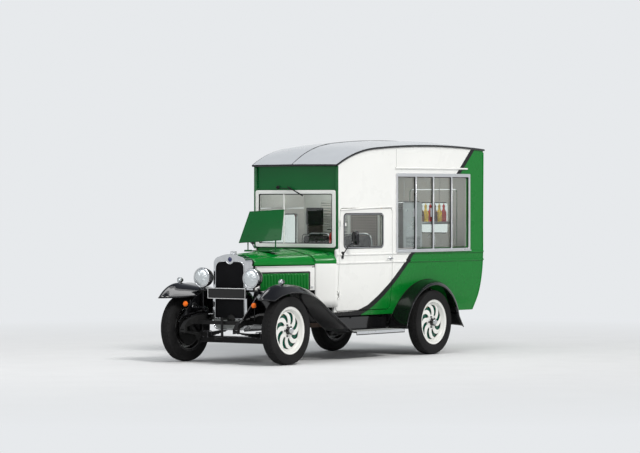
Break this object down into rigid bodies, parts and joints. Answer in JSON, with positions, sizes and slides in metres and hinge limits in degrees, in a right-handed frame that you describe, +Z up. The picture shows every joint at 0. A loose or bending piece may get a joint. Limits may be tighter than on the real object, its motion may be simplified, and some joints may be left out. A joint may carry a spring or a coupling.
{
  "type": "ice cream truck",
  "caption": "Vintage-style light van with a round-fendered cab, high boxy body, service window and bonnet board, built as an ice cream truck with opening doors and steered wheels.",
  "frame": {"origin": "centre of the bounding box's footprint, on the ground under the parked truck", "axes": "+Z up, +Y towards the rear, so the truck faces -Y, and +X towards its left side, where the service window is"},
  "size_m": [1.65, 4.5238, 2.5234],
  "materials": {
    "tyre_rubber": "matt",
    "wheel_white": "gloss",
    "chassis_black": "satin",
    "fender_black": "gloss",
    "body_green": "gloss",
    "roof_grey": "satin",
    "window_glass": "clear",
    "window_aluminium": "satin",
    "frame_white": "gloss",
    "radiator_chrome": "polished",
    "plate_black": "gloss",
    "floor_grey": "matt",
    "engine_grey": "cast",
    "seat_leather": "satin",
    "counter_steel": "brushed",
    "lamp_orange": "gloss"
  },
  "bodies": {
    "chassis": {"body_side_left": "body_green", "body_side_right": "body_green", "bonnet_sign": "body_green", "bonnet_top": "body_green", "chassis_frame": "chassis_black", "engine_block": "engine_grey", "floor": "floor_grey", "freezer": "counter_steel", "front_axle": "chassis_black", "front_fender_left": "fender_black", "front_fender_right": "fender_black", "front_panel": "body_green", "headlamps": "fender_black", "indicator_left": "lamp_orange", "indicator_right": "lamp_orange", "number_plate": "plate_black", "radiator": "radiator_chrome", "rear_axle": "chassis_black", "rear_fender_left": "fender_black", "rear_fender_right": "fender_black", "rear_lamps": "plate_black", "rear_panel": "body_green", "roof": "roof_grey", "running_board_left": "fender_black", "running_board_right": "fender_black", "scuttle": "body_green", "seats": "seat_leather", "service_window_frame": "window_aluminium", "service_window_glass": "window_glass", "serving_counter": "counter_steel", "spring_front_left": "chassis_black", "spring_front_right": "chassis_black", "spring_rear_left": "chassis_black", "spring_rear_right": "chassis_black", "starting_handle": "chassis_black", "windscreen_frame": "frame_white", "windscreen_glass": "window_glass"},
    "knuckle_left": {"knuckle_left": "chassis_black"},
    "knuckle_right": {"knuckle_right": "chassis_black"},
    "tie_rod": {"tie_rod": "chassis_black"},
    "door_left": {"door_left": "body_green", "door_glass_left": "window_glass"},
    "door_right": {"door_right": "body_green", "door_glass_right": "window_glass"},
    "rear_door": {"rear_door": "body_green"},
    "bonnet_side_left": {"bonnet_side_left": "body_green"},
    "bonnet_side_right": {"bonnet_side_right": "body_green"},
    "steering_wheel": {"steering_wheel": "fender_black"},
    "wheel_front_left": {"wheel_front_left": "wheel_white", "tyre_front_left": "tyre_rubber"},
    "wheel_front_right": {"wheel_front_right": "wheel_white", "tyre_front_right": "tyre_rubber"},
    "wheel_rear_left": {"wheel_rear_left": "wheel_white", "tyre_rear_left": "tyre_rubber"},
    "wheel_rear_right": {"wheel_rear_right": "wheel_white", "tyre_rear_right": "tyre_rubber"}
  },
  "joints": [
    {"name": "steer_left", "type": "hinge", "parent": "chassis", "child": "knuckle_left", "pos_m": [0.622, -1.78194, 0.3815], "axis": [0, 0, 1], "range_deg": [-30, 30]},
    {"name": "steer_right", "type": "hinge", "parent": "chassis", "child": "knuckle_right", "pos_m": [-0.622, -1.78194, 0.3815], "axis": [0, 0, 1], "range_deg": [-30, 30]},
    {"name": "tie_rod_pivot", "type": "hinge", "parent": "knuckle_left", "child": "tie_rod", "pos_m": [0.622, -1.63194, 0.281], "axis": [0, 0, 1], "range_deg": [-30, 30]},
    {"name": "steering_wheel_turn", "type": "hinge", "parent": "chassis", "child": "steering_wheel", "pos_m": [-0.33, -0.45194, 1.06], "axis": [0, 0.682, 0.7314], "range_deg": [-330, 330]},
    {"name": "spin_front_left", "type": "hinge", "parent": "knuckle_left", "child": "wheel_front_left", "pos_m": [0.706, -1.78194, 0.3815], "axis": [1, 0, 0], "continuous": true},
    {"name": "spin_front_right", "type": "hinge", "parent": "knuckle_right", "child": "wheel_front_right", "pos_m": [-0.706, -1.78194, 0.3815], "axis": [1, 0, 0], "continuous": true},
    {"name": "spin_rear_left", "type": "hinge", "parent": "chassis", "child": "wheel_rear_left", "pos_m": [0.706, 1.06306, 0.3815], "axis": [1, 0, 0], "continuous": true},
    {"name": "spin_rear_right", "type": "hinge", "parent": "chassis", "child": "wheel_rear_right", "pos_m": [-0.706, 1.06306, 0.3815], "axis": [1, 0, 0], "continuous": true},
    {"name": "door_left_hinge", "type": "hinge", "parent": "chassis", "child": "door_left", "pos_m": [0.6066, -0.62649, 0.742], "axis": [-0.0013, -0.0344, -0.9994], "range_deg": [0, 68]},
    {"name": "door_right_hinge", "type": "hinge", "parent": "chassis", "child": "door_right", "pos_m": [-0.6066, -0.62649, 0.742], "axis": [-0.0013, 0.0344, 0.9994], "range_deg": [0, 68]},
    {"name": "rear_door_hinge", "type": "hinge", "parent": "chassis", "child": "rear_door", "pos_m": [-0.345, 2.24394, 0.86], "axis": [0, 0, 1], "range_deg": [0, 100]},
    {"name": "bonnet_left_hinge", "type": "hinge", "parent": "chassis", "child": "bonnet_side_left", "pos_m": [0.23988, -1.7476, 1.073], "axis": [-0.2402, -0.9707, 0], "range_deg": [0, 75]},
    {"name": "bonnet_right_hinge", "type": "hinge", "parent": "chassis", "child": "bonnet_side_right", "pos_m": [-0.23988, -1.7476, 1.073], "axis": [-0.2402, 0.9707, 0], "range_deg": [0, 75]}
  ],
  "couplings": [
    {"joint": "steer_right", "follows": "steer_left", "ratio": 1},
    {"joint": "tie_rod_pivot", "follows": "steer_left", "ratio": -1},
    {"joint": "steering_wheel_turn", "follows": "steer_left", "ratio": 11}
  ]
}
